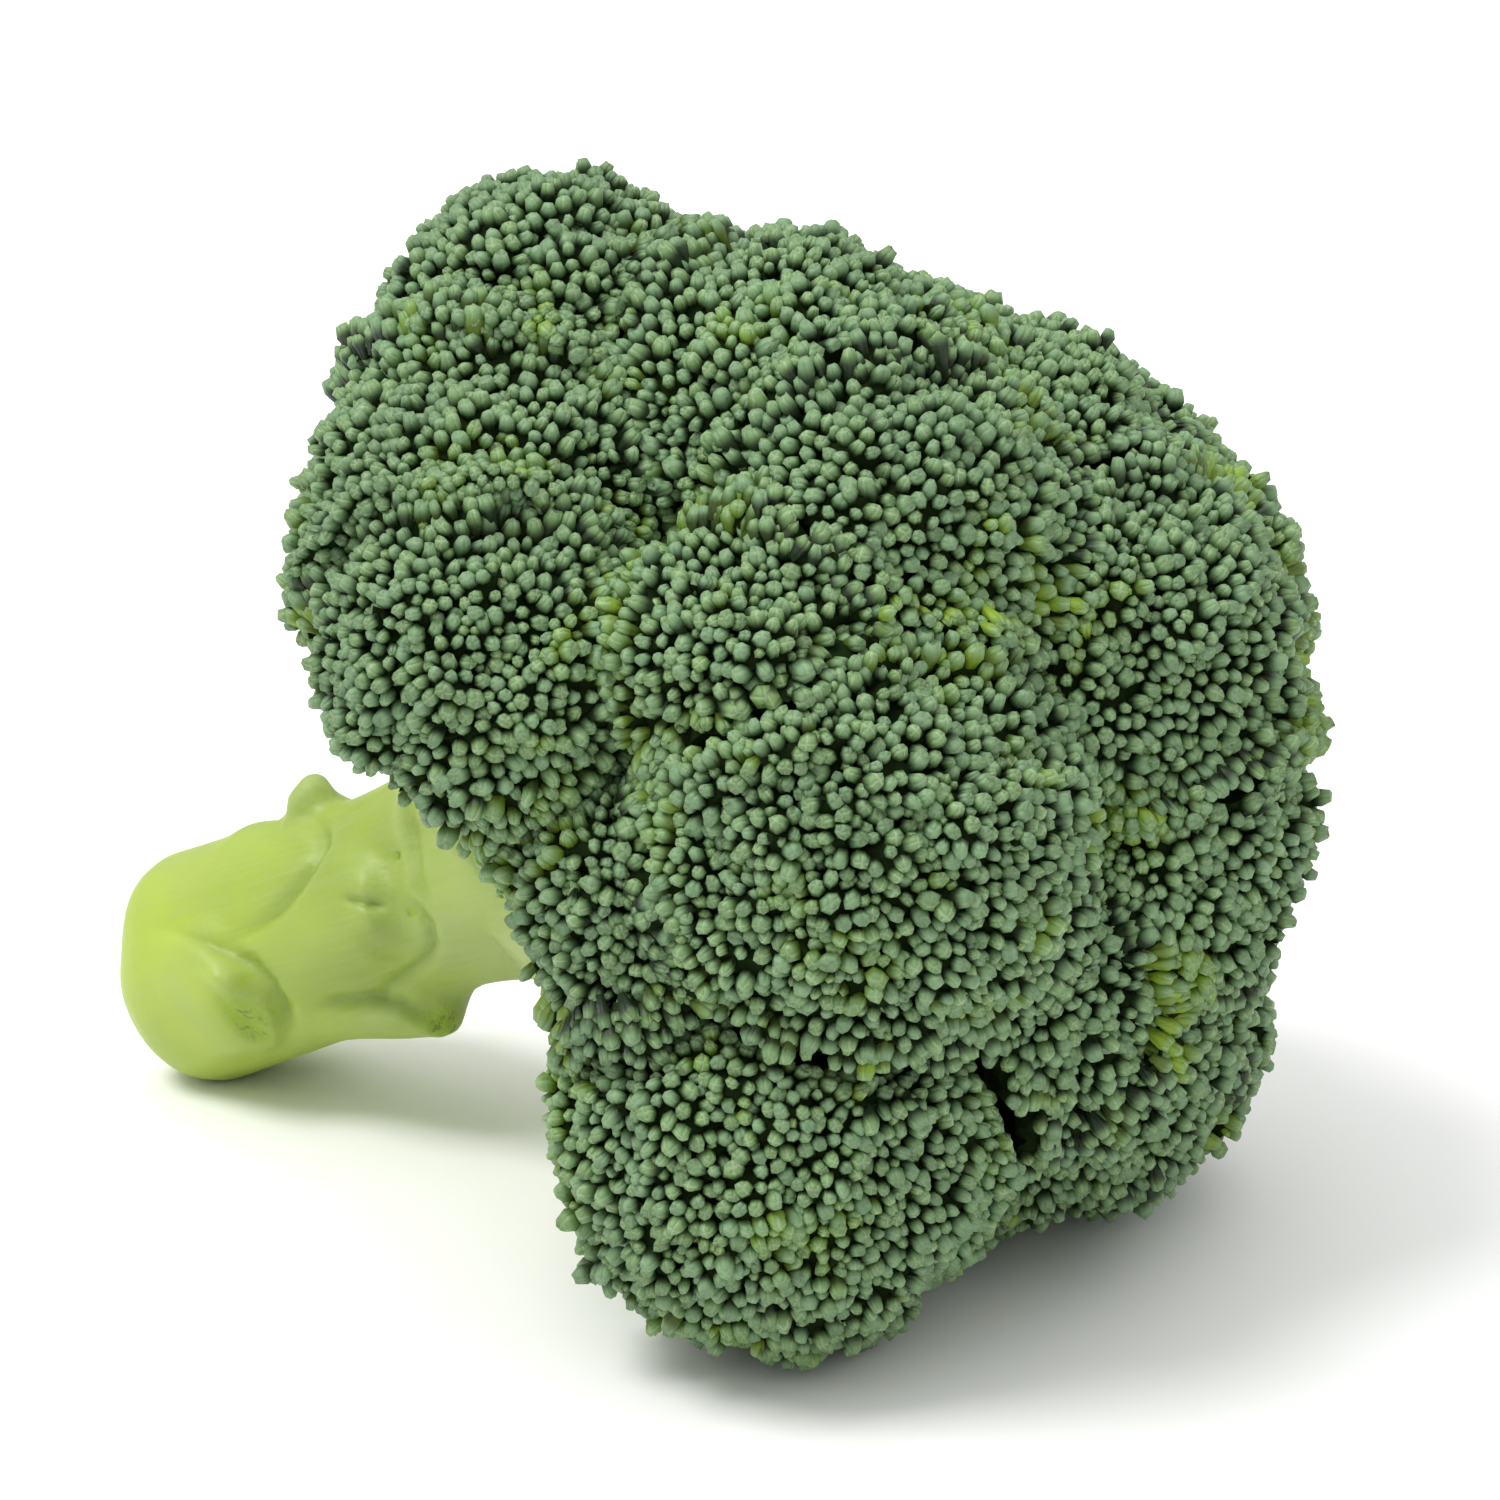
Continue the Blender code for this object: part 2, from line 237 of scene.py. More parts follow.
def line_nearness(along, turn, places, half_width):
    """1 on a line drawn over the stalk, falling to 0 beside it and towards its ends."""
    places = [(a * MM, math.radians(t)) for a, t in places]
    spots = np.stack([along, unrolled(turn, places[0][1])], 1)
    ends = [np.array((a, unrolled(t, places[0][1]))) for a, t in places]
    nearest, gone = np.full(len(spots), 1.0), np.zeros(len(spots))
    for number, (low, high) in enumerate(zip(ends, ends[1:])):
        run = high - low
        share = np.clip((spots - low) @ run / (run @ run), 0.0, 1.0)
        away = np.linalg.norm(spots - low - share[:, None] * run, axis=1)
        gone = np.where(away < nearest, (number + share) / (len(ends) - 1), gone)
        nearest = np.minimum(nearest, away)
    strength = np.clip(LINE_GAIN * np.minimum(gone, 1.0 - gone) + LINE_LEFT, 0.0, 1.0)
    return np.exp(-((nearest / (half_width * MM)) ** 2)) * strength


def fewer_inner_faces(obj, start, kept):
    """Thins out the faces of the stalk that the crown hides."""
    along = stalk_places(points_of(obj.data))[0]
    group = obj.vertex_groups.new(name="inner")
    group.add(np.nonzero(along > start)[0].tolist(), 1.0, "REPLACE")
    fewer = obj.modifiers.new("fewer faces", "DECIMATE")
    fewer.ratio = kept
    fewer.vertex_group = "inner"
    obj.data = taken_mesh(obj)
    obj.vertex_groups.clear()


stalk = merged_copy("stalk")
remeshed(stalk, STALK_VOXEL, STALK_ROUNDING)
fewer_inner_faces(stalk, INNER_START, INNER_FACES_KEPT)
points, normals = points_of(stalk.data), normals_of(stalk.data)
along, out, turn = stalk_places(points)
bare = (out > BARE_RADIUS) & (along < INNER_START)
scars = np.zeros(len(points))
lines = np.zeros(len(points))
dimples = np.zeros(len(points))
for scar_along, scar_turn, half_length, half_width, deep, torn in LEAF_SCARS:
    about = math.radians(scar_turn)
    across = (unrolled(turn, about) - about * TRUNK_RADIUS) / (half_width * MM)
    ahead = (along - scar_along * MM) / (half_length * MM) + SCAR_CURVE * across**2
    near = np.exp(-(ahead**2) - across**2) * bare
    scars = np.maximum(scars, near * torn)
    dimples += near * deep * MM
for places, half_width, deep, green in LEAF_LINES:
    near = line_nearness(along, turn, places, half_width) * bare
    lines = np.maximum(lines, near * green)
    dimples += near * deep * MM
stretched = points - np.outer(points @ AXIS, AXIS) * (1.0 - 1.0 / WAVE_STRETCH)
swell = waves(stretched, WAVE_SIZE, WAVE_SEED) * WAVE_HEIGHT
points += normals * (swell - dimples)[:, None]
points[:, 2] = np.maximum(points[:, 2], 0.0)
set_points(stalk.data, points)
along, out, turn = stalk_places(points)
store(stalk.data, "hollow", hollows(stalk, HOLLOW_PASSES, HOLLOW_DEPTH))
store(stalk.data, "scar", scars)
store(stalk.data, "line", lines)
store(stalk.data, "along", along / MM)
store(stalk.data, "out", out / TRUNK_RADIUS)
store(stalk.data, "cut", rise(-(normals @ AXIS), *CUT_FACING) * (along < CUT_DEPTH))
store(stalk.data, "fibre", np.stack([along / MM, turn * TRUNK_RADIUS / MM, out / MM], 1))


def operator(operation, reflected=False):
    """A method of Wire for a sign between two values, or for its reflected form."""
    if reflected:
        return lambda wire, other: wire.math(operation, other, wire)
    return lambda wire, other: wire.math(operation, wire, other)


class Wire:
    """An output in a tree of nodes. A sum written on it adds Math nodes to the tree."""

    def __init__(self, tree, socket):
        self.tree = tree
        self.socket = socket

    def math(self, operation, *values):
        return self.tree.node("ShaderNodeMath", {"operation": operation}, dict(enumerate(values)))

    __add__, __radd__ = operator("ADD"), operator("ADD", True)
    __sub__, __rsub__ = operator("SUBTRACT"), operator("SUBTRACT", True)
    __mul__, __rmul__ = operator("MULTIPLY"), operator("MULTIPLY", True)
    __truediv__, __rtruediv__ = operator("DIVIDE"), operator("DIVIDE", True)
    at_least, at_most = operator("MAXIMUM"), operator("MINIMUM")

    def __abs__(self):
        return self.math("ABSOLUTE", self)

    def rise(self, low, high):
        """0 below low, 1 above high, and a smooth rise between."""
        return self.tree.node(
            "ShaderNodeMapRange",
            {"interpolation_type": "SMOOTHSTEP"},
            {"Value": self, "From Min": low, "From Max": high},
        )

    def out(self, name):
        """Another output of the same node."""
        return Wire(self.tree, self.tree.socket(self.socket.node.outputs, name))


class Tree:
    """A tree of nodes that is being built, a material's or a modifier's."""

    def __init__(self, nodes):
        self.tree = nodes

    def socket(self, sockets, name):
        """A socket by its number, or the one in use that has the name."""
        if isinstance(name, int):
            return sockets[name]
        return next(socket for socket in sockets if socket.name == name and socket.enabled)

    def link(self, value, socket):
        if isinstance(value, Wire):
            self.tree.links.new(value.socket, socket)
        else:
            socket.default_value = value

    def node(self, kind, settings=None, values=None, output=0):
        """A new node: its settings, then the values or wires of its inputs. Gives one output."""
        made = self.tree.nodes.new(kind)
        for name, setting in (settings or {}).items():
            setattr(made, name, setting)
        for name, value in (values or {}).items():
            for one in value if isinstance(value, list) else [value]:
                self.link(one, self.socket(made.inputs, name))
        return Wire(self, self.socket(made.outputs, output))

    def attribute(self, name, output="Fac"):
        return self.node("ShaderNodeAttribute", {"attribute_name": name}, output=output)

    def mix(self, share, first, second):
        """A blend of two colours."""
        return self.node(
            "ShaderNodeMix",
            {"data_type": "RGBA"},
            {"Factor": share, "A": first, "B": second},
            "Result",
        )

    def noise(self, place, scale, detail=2.0, roughness=0.5):
        return self.node(
            "ShaderNodeTexNoise",
            None,
            {"Vector": place, "Scale": scale, "Detail": detail, "Roughness": roughness},
        )

    def spot(self):
        """Where a point of the surface is."""
        return self.node("ShaderNodeTexCoord", output="Object")

    def parts(self, vector, output="X"):
        """A vector's X, with Y and Z as the other outputs of the same node."""
        return self.node("ShaderNodeSeparateXYZ", None, {"Vector": vector}, output)

    def stretched(self, place, scale):
        return self.node(
            "ShaderNodeMapping", {"vector_type": "POINT"}, {"Vector": place, "Scale": scale}
        )

    def bump(self, height, strength, distance):
        """A relief, for a shader's Normal."""
        values = {"Strength": strength, "Distance": distance, "Height": height}
        return self.node("ShaderNodeBump", None, values, "Normal")


def new_material(name, **constants):
    """A material with its shader's constants set: (tree, material, shader's inputs)."""
    material = bpy.data.materials.new(name)
    material.use_nodes = True
    shader = material.node_tree.nodes["Principled BSDF"]
    for socket, value in constants.items():
        shader.inputs[socket.replace("_", " ")].default_value = value
    return Tree(material.node_tree), material, shader.inputs


def rgb(red, green, blue):
    return (red, green, blue, 1.0)


# The stalk's flesh: lime green at the trimmed end, paler towards the crown, greener along the lines
# and torn in the leaf scars, with faint strings along it. The cut face is cream, with a ring of
# strings.
LIME = rgb(0.385, 0.50, 0.060)
PALE_LIME = rgb(0.265, 0.36, 0.052)
WHITE_GREEN = rgb(0.37, 0.46, 0.165)
GROOVE_SHADE_GREEN = rgb(0.18, 0.29, 0.03)
LINE_GREEN = rgb(0.14, 0.23, 0.025)
SCAR_GREEN = rgb(0.28, 0.40, 0.025)
PITH = rgb(0.55, 0.60, 0.30)
STRING_RING = rgb(0.30, 0.42, 0.10)
FLESH_SCATTER = (0.9, 1.0, 0.4)
# Where lime turns pale and pale turns white-green, in mm from the cut end, and where the ring of
# strings starts and stops in the cut face, as shares of the stalk's radius.
PALE_RUN, WHITE_RUN = (6.0, 52.0), (50.0, 74.0)
RING_START, RING_STOP = (0.55, 0.68), (0.78, 0.9)
# The patterns: clouds, frays and specks a metre, and strings a mm along, round and out.
CLOUD_SCALE, FRAY_SCALE, SPECK_SCALE = 110.0, 700.0, 1400.0
STRING_SCALE, RAY_SCALE = (0.05, 1.1, 0.4), (0.3, 1.6, 0.5)
STALK_RELIEF, STALK_RELIEF_DEPTH = 0.4, 0.4 * MM

tree, stalk_flesh, flesh = new_material(
    "stalk flesh",
    Subsurface_Weight=0.15,
    Subsurface_Radius=FLESH_SCATTER,
    Subsurface_Scale=1.5 * MM,
)
spot = tree.spot()
fibre = tree.attribute("fibre", "Vector")
along_wire, out_wire, cut_wire = (tree.attribute(name) for name in ("along", "out", "cut"))
hollow_wire, line_wire, scar_wire = (tree.attribute(name) for name in ("hollow", "line", "scar"))
strings = tree.noise(tree.stretched(fibre, STRING_SCALE), 1.0, 4.0, 0.6)
rays = tree.noise(tree.stretched(fibre, RAY_SCALE), 1.0, 3.0)
clouds = tree.noise(spot, CLOUD_SCALE, 3.0)
frays = tree.noise(spot, FRAY_SCALE, 4.0, 0.65)
specks = tree.noise(spot, SPECK_SCALE, 2.0)
skin = tree.mix(along_wire.rise(*PALE_RUN) * 0.8 + (clouds - 0.5) * 0.9, LIME, PALE_LIME)
pale = along_wire.rise(*WHITE_RUN) * 0.35 + (strings - 0.42) * 0.8
# Painted highlight: the ridges are painted paler, towards white-green.
pale = pale - hollow_wire.at_most(0.0) * 0.5
skin = tree.mix(pale + (clouds - 0.5) * 0.5, skin, WHITE_GREEN)
# Painted shade: the hollows are painted a darker green.
skin = tree.mix(hollow_wire.rise(0.15, 0.95) * 0.55, skin, GROOVE_SHADE_GREEN)
skin = tree.mix(line_wire.rise(0.1, 1.0) * (0.1 + frays * 0.7), skin, LINE_GREEN)
skin = tree.mix(scar_wire.rise(0.2, 0.75) * frays.rise(0.3, 0.62), skin, SCAR_GREEN)
skin = tree.mix(scar_wire.rise(0.35, 0.9) * (1.0 - frays.rise(0.36, 0.5)), skin, LINE_GREEN)
ring = out_wire.rise(*RING_START) * (1.0 - out_wire.rise(*RING_STOP))
face = tree.mix(ring * (0.35 + rays * 0.7), tree.mix(clouds * 0.5, PITH, LIME), STRING_RING)
tree.link(tree.mix(cut_wire, skin, face), flesh["Base Color"])
tree.link(0.38 + strings * 0.16 + scar_wire * 0.2 + cut_wire * 0.12, flesh["Roughness"])
relief = strings * 0.5 + specks * 0.25 + cut_wire * rays * 0.6 + scar_wire * frays * 2.5
tree.link(tree.bump(relief, STALK_RELIEF, STALK_RELIEF_DEPTH), flesh["Normal"])

stalk.name = "stalk_flesh"
stalk.data.name = "stalk_flesh"
stalk.data.materials.clear()
stalk.data.materials.append(stalk_flesh)
stalk.data.shade_smooth()
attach(stalk, "root")
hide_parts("stalk")


# ---------------------------------------------------------------------------------------------
# The floret's core: the branch divides again and again under the buds, so densely that between
# the buds only a mass in painted shade shows, painted nearly black. It is the floret's solid,
# rounded and drawn in by the height of a bud, and it carries for each of its points what grows
# there.

# Florets: the angle from the head's axis, the turn round it from the top towards -Y (degrees),
# the reach from the crown's middle to the floret's own, and the dome's radius (mm).
FLORETS = {
    "floret_top_rear": (88, 12, 62, 25),
    "floret_shoulder": (90, 38, 53, 27.5),
    "floret_side": (84, 61.5, 58, 22.5),
    "floret_side_low": (74, 98, 47.5, 20),
    "floret_foot_front": (77, 140, 51.3, 32),
    "floret_top_front": (55, 11, 52, 26),
    "floret_face_top": (34, 34, 55, 23.5),
    "floret_face_side": (49, 66, 57, 18),
    "floret_face_middle": (41, 102, 53, 28),
    "floret_face_low": (43, 165, 50, 21),
    "floret_nose": (10, -75, 55, 25),
    "floret_brow": (35.5, -29, 54, 22.5),
    "floret_far_face": (40, -80, 54, 26),
    "floret_chin": (28, -150, 54, 23.5),
    "floret_foot_nose": (61.5, -167, 54.5, 25),
    "floret_far_top": (76, -22, 48, 26),
    "floret_far_shoulder": (78, -58, 52, 27),
    "floret_far_side": (80, -96, 51, 28),
    "floret_foot_far": (76, -143, 56.3, 29),
    "floret_foot_back": (88, 178, 46, 22),
}
ROOT_BACK = 6.0 * MM
RIM_ROOT_BACK = 38.0 * MM
UNDERSIDE_ANGLE = math.radians(52.0)
UNDERSIDE_APEX = 1.02
BRANCH_SHARE = 0.29
# Domes swell towards each other beside the wall between them, as the solids do.
CREASE_FILL = 6.5 * MM
CREASE_REACH = 6.0 * MM
CORE_VOXEL = 1.5 * MM
CORE_ROUNDING = 2
CORE_INSET = 1.7 * MM
CORE_FLOOR = 0.6 * MM
BUD_SEAT = 0.7 * MM
# The dome turns under at its rim, where the buds end: angles from the branch's own way.
RIM_START, RIM_END = math.radians(82.0), math.radians(104.0)
UNDER_TURN = (RIM_END - 0.05, RIM_END + 0.12)
LAST_BUDS = (RIM_END - 0.06, RIM_END + 0.05)
RIM_DIG = 1.6 * MM
UNDERSIDE_DIG = 2.2 * MM
# Where the underside meets its branch, as shares of the dome's radius.
SEAT_NEAR, SEAT_FAR = 0.3, 0.6
# A distance past every wall, and the least slope at which a way still meets a wall.
FAR, LEAST_SLOPE = 1.0, 1e-3
# How near a neighbour's wall a point has to lie to be on it, and how far down it buds still grow.
WALL_GAP = 1.3 * MM
GAP_SHARE = 0.8
WALL_NEAR = 0.9 * MM
WALL_FREE = 2.6 * MM
WALL_SINK = 6.0 * MM
WALL_BUDS = 4.0 * MM
LAST_WALL_BUDS = 1.2 * MM
# Beside a wall the rim and the underside stay full, and carry buds too.
WALL_FULL_START, WALL_FULL_END = 3.0 * MM, 10.0 * MM
# Buds fan out from a point behind the dome's middle, and lean out less at the rim and on a wall.
FAN_BACK = 0.45
DOME_LEAN = 1.0
RIM_LEAN = 0.6
WALL_LEAN = 0.35
# Buds stand in umbels: their size, how far the surface falls between them and how near the border,
# and how far they fan out.
UMBEL_SIZE = 9.5 * MM
UMBEL_FALL = 2.6 * MM
UMBEL_BORDER = 0.45
UMBEL_FAN = 1.3
# Tender buds grow in patches of two sizes, along some of the creases and at the rim.
PATCH_SIZE, PATCH_SEED = 15.0 * MM, 11.0
FINE_SIZE, FINE_SEED, FINE_SHARE = PATCH_SIZE * 0.35, 5.0, 0.8
PATCH_TENDER, PATCH_EDGE = 0.75, (0.4, 0.66)
CREASE_TENDER, CREASE_EDGE, CREASE_WIDE = 0.5, (0.05, 0.45), WALL_FREE * 2.5
RIM_TENDER = 0.8
# How deep beside its walls a floret is dug in, and how far its walls close in on the neighbours'.
CREASE_DIG = 1.4 * MM
CREASE_SHUT = 2.4 * MM
CREASE_CLOSED = 1.0
FLANGE_START, FLANGE_END = 2.5 * MM, 9.0 * MM
# How squarely a point faces out of its dome, from a wall to the open dome.
DOME_FACING = (0.35, 0.8)
# Florets that differ: how much deeper one lies, how deep its creases are, and how far they close.
APART = {
    "floret_foot_front": (0.0, 3.2 * MM, 0.4),
    "floret_side_low": (1.5 * MM, 1.6 * MM, 0.9),
    "floret_foot_nose": (0.8 * MM, 2.4 * MM, 0.8),
    "floret_face_low": (0.8 * MM, 1.8 * MM, 0.9),
    "floret_side": (0.0, 1.8 * MM, 1.0),
    "floret_top_rear": (0.0, 2.6 * MM, 1.0),
    "floret_face_middle": (0.0, 1.8 * MM, 1.0),
}
# Florets with an open slot beside them: how far down it their buds grow.
DEEP_BUDS = {"floret_shoulder": 9.0 * MM, "floret_side": 9.0 * MM}


class Floret:
    """Where a floret's branch, dome and neighbours' walls are."""

    def __init__(self, name, polar, turn, reach, radius):
        polar, turn = math.radians(polar), math.radians(turn)
        sideways = UP * math.cos(turn) + NEAR * math.sin(turn)
        outward = AXIS * math.cos(polar) + sideways * math.sin(polar)
        self.name = name
        self.radius = radius * MM
        self.centre = CROWN_MIDDLE + outward * reach * MM
        root = CROWN_MIDDLE - AXIS * (ROOT_BACK + RIM_ROOT_BACK * math.sin(polar) ** 2)
        self.way = (self.centre - root) / np.linalg.norm(self.centre - root)
        seat_back = self.radius * (UNDERSIDE_APEX - BRANCH_SHARE / math.tan(UNDERSIDE_ANGLE))
        self.seat = self.centre - self.way * seat_back

    def walls(self, florets):
        """The walls that neighbours set: the way to each, and how far off the wall is."""
        for other in florets:
            apart = other.centre - self.centre
            distance = np.linalg.norm(apart)
            if other is self or distance > self.radius + other.radius + 2.0 * CREASE_FILL:
                continue
            wall_off = (distance**2 + self.radius**2 - other.radius**2) / (2.0 * distance)
            yield apart / distance, wall_off


def unit(vectors):
    return vectors / np.maximum(np.linalg.norm(vectors, axis=-1, keepdims=True), 1e-9)


def umbels(points, size):
    """The umbels that points are in: how far the border is, and the way out from the middle."""
    border, outward = np.empty(len(points)), np.empty((len(points), 3))
    for index, point in enumerate(points):
        distances, middles = noise.voronoi(Vector(point / size))
        border[index] = distances[1] - distances[0]
        outward[index] = point / size - np.array(middles[0])
    return border, outward


def gaps_to(points, solids):
    """How far the nearest of other florets' solids is from each point."""
    gaps = np.full(len(points), WALL_FULL_END)
    for index, point in enumerate(points):
        for solid in solids:
            found = solid.find_nearest(Vector(point), gaps[index])[3]
            if found is not None:
                gaps[index] = found
    return gaps


def make_core(floret, florets, neighbours):
    """A floret's core, with what grows at each of its points."""
    core = merged_copy(floret.name)
    remeshed(core, CORE_VOXEL, CORE_ROUNDING)
    points, normals = points_of(core.data), normals_of(core.data)
    off = points - floret.centre
    reach = np.linalg.norm(off, axis=1)
    way = off / reach[:, None]
    lean = np.arccos(np.clip(way @ floret.way, -1.0, 1.0))
    sunk, dug, closed = APART.get(floret.name, (0.0, CREASE_DIG, CREASE_CLOSED))
    groove = CORE_INSET + sunk + dug

    # How near the neighbours' walls a point is, and how deep in the crease beside them.
    wall = np.full(len(points), FAR)
    wall_ahead = np.full(len(points), FAR)
    for normal, distance in floret.walls(florets):
        wall = np.minimum(wall, distance - off @ normal)
        wall_ahead = np.minimum(wall_ahead, distance / np.maximum(way @ normal, LEAST_SLOPE))
    gap = gaps_to(points, neighbours)
    wall = np.maximum(wall, (gap - WALL_GAP) * GAP_SHARE)
    swollen = CREASE_FILL * np.exp(np.minimum(floret.radius - wall_ahead, 0.0) / CREASE_REACH)
    depth = floret.radius + swollen - reach
    free = rise(wall, WALL_NEAR, WALL_FREE)
    beside = 1.0 - rise(wall, WALL_NEAR, WALL_SINK)
    open_side = rise(wall, WALL_FULL_START, WALL_FULL_END)

    # The dome's rim, its underside, and the seat on the branch.
    rim = rise(lean, RIM_START, RIM_END)
    under = rise(lean, *UNDER_TURN)
    seat_off = np.linalg.norm(points - floret.seat, axis=1)
    seat_near = 1.0 - rise(seat_off, floret.radius * SEAT_NEAR, floret.radius * SEAT_FAR)

    # Where buds grow, and which way: outwards, each umbel's fanned about its own middle.
    bare_from = groove + DEEP_BUDS.get(floret.name, WALL_BUDS)
    buried = (1.0 - free) * rise(depth, bare_from, bare_from + LAST_WALL_BUDS)
    buried *= 1.0 - rise(gap, WALL_GAP, 2.0 * WALL_GAP)
    share = (1.0 - rise(lean, *LAST_BUDS) * open_side) * (1.0 - buried)
    fan = floret.centre - floret.way * floret.radius * FAN_BACK
    spread = DOME_LEAN * free * (1.0 - RIM_LEAN * rim) + WALL_LEAN * (1.0 - free)
    border, outward = umbels(points, UMBEL_SIZE)
    outward -= normals * (outward * normals).sum(1)[:, None]
    fanned = outward * (UMBEL_FAN * free)[:, None]
    growth = unit(unit(points - fan) + normals * spread[:, None] + fanned)

    # Which buds are tender and yellow-green.
    patches = waves(points, PATCH_SIZE, PATCH_SEED)
    patches = patches + waves(points, FINE_SIZE, FINE_SEED) * FINE_SHARE
    crease = (1.0 - rise(wall, WALL_NEAR, CREASE_WIDE)) * rise(patches, *CREASE_EDGE)
    tender = crease * CREASE_TENDER + rim * RIM_TENDER + rise(patches, *PATCH_EDGE) * PATCH_TENDER
    tender = np.clip(tender, 0.0, 1.0)

    # The surface falls between umbels, at the rim, under the dome and beside walls, and what lies
    # in a crease closes in on the neighbour.
    fall = (1.0 - rise(border, 0.0, UMBEL_BORDER)) * UMBEL_FALL * (1.0 - under)
    on_dome = rise((normals * way).sum(1), *DOME_FACING)
    inset = CORE_INSET + sunk + RIM_DIG * rim * open_side
    inset = inset + fall * (1.0 - beside) + dug * beside * (1.0 - under)
    inset *= np.maximum(on_dome, 1.0 - beside)
    inset += UNDERSIDE_DIG * under * open_side * (1.0 - seat_near)
    deeper = depth - groove
    shut = CREASE_SHUT * closed * beside * (1.0 - on_dome)
    shut = shut * (1.0 - rise(deeper, FLANGE_END, 2.0 * FLANGE_END))
    flange = np.maximum(deeper, 0.0) * (1.0 - rise(deeper, FLANGE_START, FLANGE_END))
    flange = flange * (1.0 - free) * closed
    points += way * flange[:, None] + normals * (shut - inset)[:, None]
    points[:, 2] = np.maximum(points[:, 2], CORE_FLOOR)
    set_points(core.data, points)
    kept = {"growth": growth, "bud_share": share, "rim": rim, "under": under, "tender": tender}
    for name, values in kept.items():
        store(core.data, name, values)
    return core


# Painted shade: the core is painted nearly black where it shows between the buds, the shade of the
# deep gaps; its underside is paler green.
CORE_GAP_SHADE = rgb(0.004, 0.010, 0.003)
UNDER_GREEN = rgb(0.10, 0.17, 0.035)
CORE_GRAIN = 600.0

tree, core_green, core_inputs = new_material("floret core", Specular_IOR_Level=0.05)
grain = tree.noise(tree.spot(), CORE_GRAIN, 3.0)
under_wire = tree.attribute("under")
dark = tree.mix(grain * 0.12, CORE_GAP_SHADE, UNDER_GREEN)
core_colour = tree.mix(under_wire * (0.3 + grain * 0.5), dark, UNDER_GREEN)
tree.link(core_colour, core_inputs["Base Color"])
tree.link(0.85 + grain * 0.1, core_inputs["Roughness"])
tree.link(tree.bump(grain, 0.6, 0.5 * MM), core_inputs["Normal"])


# ---------------------------------------------------------------------------------------------
# The branchlets: under the dome the branch parts into pale, fleshy stems that fan out to the rim.
# Each is one tapered stem, and where they leave the branch they merge into a fluted cone.

BRANCHLET_SIDES = 8
# Rings of a stem one long and one thick at its foot: how far along, how thick, and its bow.
BRANCHLET_RINGS = ((0.0, 1.0, 0.0), (0.3, 0.82, 0.02), (0.62, 0.62, 0.025), (0.9, 0.52, 0.01))
BRANCHLET_TIP = 1.05
BRANCHLET_GRAIN = 260.0

SEAT_GREEN = rgb(0.40, 0.50, 0.16)
STEM_GREEN = rgb(0.20, 0.32, 0.06)


def turned_shape(name, rings, sides, tip, wobble=0.0, seed=0):
    """A closed shape of rings along Z: their height, radius and sideways bow, and the tip."""
    rng = random.Random(seed)
    bm = bmesh.new()
    made = []
    pressed = [1.0 + rng.uniform(-wobble, wobble) for _ in range(sides)]
    for height, radius, bow in rings:
        ring = []
        for side in range(sides):
            angle = 2.0 * math.pi * side / sides
            wide = radius * pressed[side] * (1.0 + rng.uniform(-wobble, wobble) / 2.0)
            lift = height + rng.uniform(-wobble, wobble) / 2.0
            ring.append(bm.verts.new((wide * math.cos(angle) + bow, wide * math.sin(angle), lift)))
        made.append(ring)
    for low, high in zip(made, made[1:]):
        for side in range(sides):
            after = (side + 1) % sides
            bm.faces.new((low[side], low[after], high[after], high[side]))
    bm.faces.new(reversed(made[0]))
    top = bm.verts.new((0.0, 0.0, tip))
    for side in range(sides):
        bm.faces.new((made[-1][side], made[-1][(side + 1) % sides], top))
    bmesh.ops.recalc_face_normals(bm, faces=bm.faces)
    mesh = bpy.data.meshes.new(name)
    bm.to_mesh(mesh)
    bm.free()
    mesh.shade_smooth()
    store(mesh, "bud_spot", points_of(mesh))
    return bpy.data.objects.new(name, mesh)


def shape_set(name, material, shapes):
    """A collection that the scattering picks its shapes from."""
    made = bpy.data.collections.new(name)
    bpy.context.scene.collection.children.link(made)
    for shape in shapes:
        shape.data.materials.append(material)
        made.objects.link(shape)
    return made


tree, branchlet_flesh, branchlet_inputs = new_material(
    "branchlet flesh",
    Subsurface_Weight=0.1,
    Subsurface_Radius=FLESH_SCATTER,
    Subsurface_Scale=1.0 * MM,
)
grain = tree.noise(tree.spot(), BRANCHLET_GRAIN, 3.0)
stem_height = tree.parts(tree.attribute("bud_spot", "Vector"), "Z")
stem_colour = tree.mix(stem_height.rise(0.35, 1.0) * 0.8, SEAT_GREEN, STEM_GREEN)
stem_colour = tree.mix(grain * 0.5, stem_colour, WHITE_GREEN)
tree.link(stem_colour, branchlet_inputs["Base Color"])
tree.link(0.42 + grain * 0.2, branchlet_inputs["Roughness"])
tree.link(tree.bump(grain, 0.3, 0.3 * MM), branchlet_inputs["Normal"])

branchlets = shape_set(
    "branchlets",
    branchlet_flesh,
    [turned_shape("branchlet", BRANCHLET_RINGS, BRANCHLET_SIDES, BRANCHLET_TIP)],
)


# ---------------------------------------------------------------------------------------------
# The buds: closed flower buds about 2 mm across, packed side by side over the whole dome, with
# smaller ones in the gaps. On the dome only their tips show, where the sepals meet in pale seams.
# At the rim they stand on thin yellow-green stalks. They lean the way that their branchlet grows.

